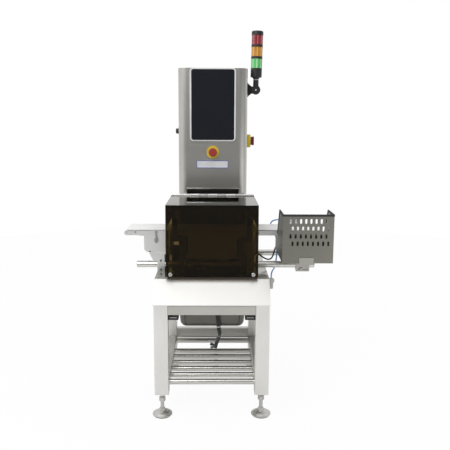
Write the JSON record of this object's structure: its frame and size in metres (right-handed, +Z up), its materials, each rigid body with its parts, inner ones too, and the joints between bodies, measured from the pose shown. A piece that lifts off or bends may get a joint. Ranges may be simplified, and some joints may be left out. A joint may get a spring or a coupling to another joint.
{
  "type": "checkweigher",
  "caption": "Inline checkweigher on a stainless stand: infeed, weigh and outfeed belts, tinted flip-up hood, control cabinet with display and signal tower, slotted reject bin",
  "frame": {"origin": "on the floor, under the centre of the machine's bounding box", "axes": "+X along the belts' running direction, +Y from the operator to the back, +Z up"},
  "size_m": [0.8964, 0.6812, 1.6919],
  "materials": {
    "frame_steel": "fine brushed stainless",
    "sheet_steel": "fine brushed stainless sheet",
    "polished_steel": "polished stainless",
    "belt_white": "smooth white food belt",
    "motor_grey": "satin paint",
    "aluminium": "anodised",
    "black_plastic": "matte",
    "bezel_grey": "satin light grey",
    "screen_glass": "dark gloss front",
    "yellow_plastic": "satin",
    "red_plastic": "gloss",
    "blue_hose": "smooth polyurethane",
    "black_rubber": "matte",
    "tinted_acrylic": "dark brown tint, gloss",
    "red_lens": "ribbed lens",
    "amber_lens": "ribbed lens",
    "green_lens": "ribbed lens"
  },
  "bodies": {
    "stand": {"air_hose": "blue_hose", "air_nozzle": "aluminium", "block_screws": "polished_steel", "cabinet_shell": "sheet_steel", "cable_bundle": "black_rubber", "control_modules": "black_plastic", "conveyor_belts": "belt_white", "conveyor_motors": "motor_grey", "conveyor_supports": "sheet_steel", "display_bezel": "bezel_grey", "display_glass": "screen_glass", "estop_ring": "yellow_plastic", "filter_regulator": "aluminium", "fixed_hinges": "sheet_steel", "frame_rails": "frame_steel", "guide_rails": "polished_steel", "hanging_pan": "sheet_steel", "isolator_base": "yellow_plastic", "legs": "frame_steel", "load_cell": "aluminium", "motor_cable": "black_rubber", "mounting_plate": "sheet_steel", "rail_blocks": "sheet_steel", "sensor_heads": "black_plastic", "sensor_posts": "sheet_steel", "service_socket": "black_plastic", "shelf_bars": "polished_steel", "side_plates": "sheet_steel", "slider_beds": "sheet_steel", "table_cover": "sheet_steel", "tower_bracket": "black_plastic", "weigh_platform": "aluminium"},
    "release_lever": {"release_lever": "sheet_steel"},
    "hood": {"hood_cover": "tinted_acrylic", "hood_fittings": "polished_steel"},
    "estop_button": {"estop_button": "red_plastic"},
    "isolator_handle": {"isolator_handle": "red_plastic"},
    "cabinet_door": {"cabinet_door": "sheet_steel"},
    "door_lock": {"door_lock": "polished_steel"},
    "signal_tower": {"tower_body": "black_plastic", "red_lens": "red_lens", "amber_lens": "amber_lens", "green_lens": "green_lens"},
    "reject_bin": {"bin_shell": "sheet_steel", "bin_trim": "black_rubber", "bin_bracket": "sheet_steel"},
    "infeed_drive_roller": {"infeed_drive_roller": "aluminium"},
    "infeed_nose_roller": {"infeed_nose_roller": "aluminium"},
    "weigh_drive_roller": {"weigh_drive_roller": "aluminium"},
    "weigh_nose_roller": {"weigh_nose_roller": "aluminium"},
    "outfeed_drive_roller": {"outfeed_drive_roller": "aluminium"},
    "outfeed_nose_roller": {"outfeed_nose_roller": "aluminium"},
    "foot_front_left": {"foot_front_left": "polished_steel", "sole_front_left": "black_rubber"},
    "foot_front_right": {"foot_front_right": "polished_steel", "sole_front_right": "black_rubber"},
    "foot_back_left": {"foot_back_left": "polished_steel", "sole_back_left": "black_rubber"},
    "foot_back_right": {"foot_back_right": "polished_steel", "sole_back_right": "black_rubber"}
  },
  "joints": [
    {"name": "infeed_drive", "type": "hinge", "parent": "stand", "child": "infeed_drive_roller", "pos_m": [-0.26155, -0.02815, 0.7697], "axis": [0, 1, 0], "continuous": true},
    {"name": "infeed_nose", "type": "hinge", "parent": "stand", "child": "infeed_nose_roller", "pos_m": [-0.43595, -0.02815, 0.7757], "axis": [0, 1, 0], "continuous": true},
    {"name": "weigh_drive", "type": "hinge", "parent": "stand", "child": "weigh_drive_roller", "pos_m": [0.10945, -0.02815, 0.7697], "axis": [0, 1, 0], "continuous": true},
    {"name": "weigh_nose", "type": "hinge", "parent": "stand", "child": "weigh_nose_roller", "pos_m": [-0.22595, -0.02815, 0.7757], "axis": [0, 1, 0], "continuous": true},
    {"name": "outfeed_drive", "type": "hinge", "parent": "stand", "child": "outfeed_drive_roller", "pos_m": [0.43245, -0.02815, 0.7757], "axis": [0, 1, 0], "continuous": true},
    {"name": "outfeed_nose", "type": "hinge", "parent": "stand", "child": "outfeed_nose_roller", "pos_m": [0.14505, -0.02815, 0.7757], "axis": [0, 1, 0], "continuous": true},
    {"name": "hood_lift", "type": "hinge", "parent": "stand", "child": "hood", "pos_m": [-0.05525, 0.10985, 0.9193], "axis": [-1, 0, 0], "range_deg": [0, 75]},
    {"name": "lever_swing", "type": "hinge", "parent": "stand", "child": "release_lever", "pos_m": [-0.30525, -0.11345, 0.777], "axis": [0, 1, 0], "range_deg": [0, 90]},
    {"name": "estop_push", "type": "slide", "parent": "stand", "child": "estop_button", "axis": [0, 1, 0], "range_m": [0, 0.005], "stiffness_N_per_m": 1500},
    {"name": "isolator_turn", "type": "hinge", "parent": "stand", "child": "isolator_handle", "pos_m": [0.12775, 0.22185, 1.173], "axis": [1, 0, 0], "range_deg": [0, 90]},
    {"name": "door_swing", "type": "hinge", "parent": "stand", "child": "cabinet_door", "pos_m": [-0.21225, 0.32515, 1.06], "axis": [0, 0, 1], "range_deg": [0, 110]},
    {"name": "lock_turn", "type": "hinge", "parent": "cabinet_door", "child": "door_lock", "pos_m": [0.07275, 0.32465, 1.06], "axis": [0, 1, 0], "range_deg": [0, 90]},
    {"name": "tower_fold", "type": "hinge", "parent": "stand", "child": "signal_tower", "pos_m": [0.15125, 0.22185, 1.417], "axis": [0, 1, 0], "range_deg": [0, 90]},
    {"name": "bin_slide", "type": "slide", "parent": "stand", "child": "reject_bin", "axis": [1, 0, 0], "range_m": [-0.04, 0.04]},
    {"name": "level_front_left", "type": "slide", "parent": "stand", "child": "foot_front_left", "axis": [0, 0, -1], "range_m": [0, 0.03]},
    {"name": "level_front_right", "type": "slide", "parent": "stand", "child": "foot_front_right", "axis": [0, 0, -1], "range_m": [0, 0.03]},
    {"name": "level_back_left", "type": "slide", "parent": "stand", "child": "foot_back_left", "axis": [0, 0, -1], "range_m": [0, 0.03]},
    {"name": "level_back_right", "type": "slide", "parent": "stand", "child": "foot_back_right", "axis": [0, 0, -1], "range_m": [0, 0.03]}
  ],
  "couplings": [
    {"joint": "infeed_nose", "follows": "infeed_drive", "ratio": 1.6667},
    {"joint": "weigh_nose", "follows": "weigh_drive", "ratio": 1.6667},
    {"joint": "outfeed_nose", "follows": "outfeed_drive", "ratio": 1}
  ]
}
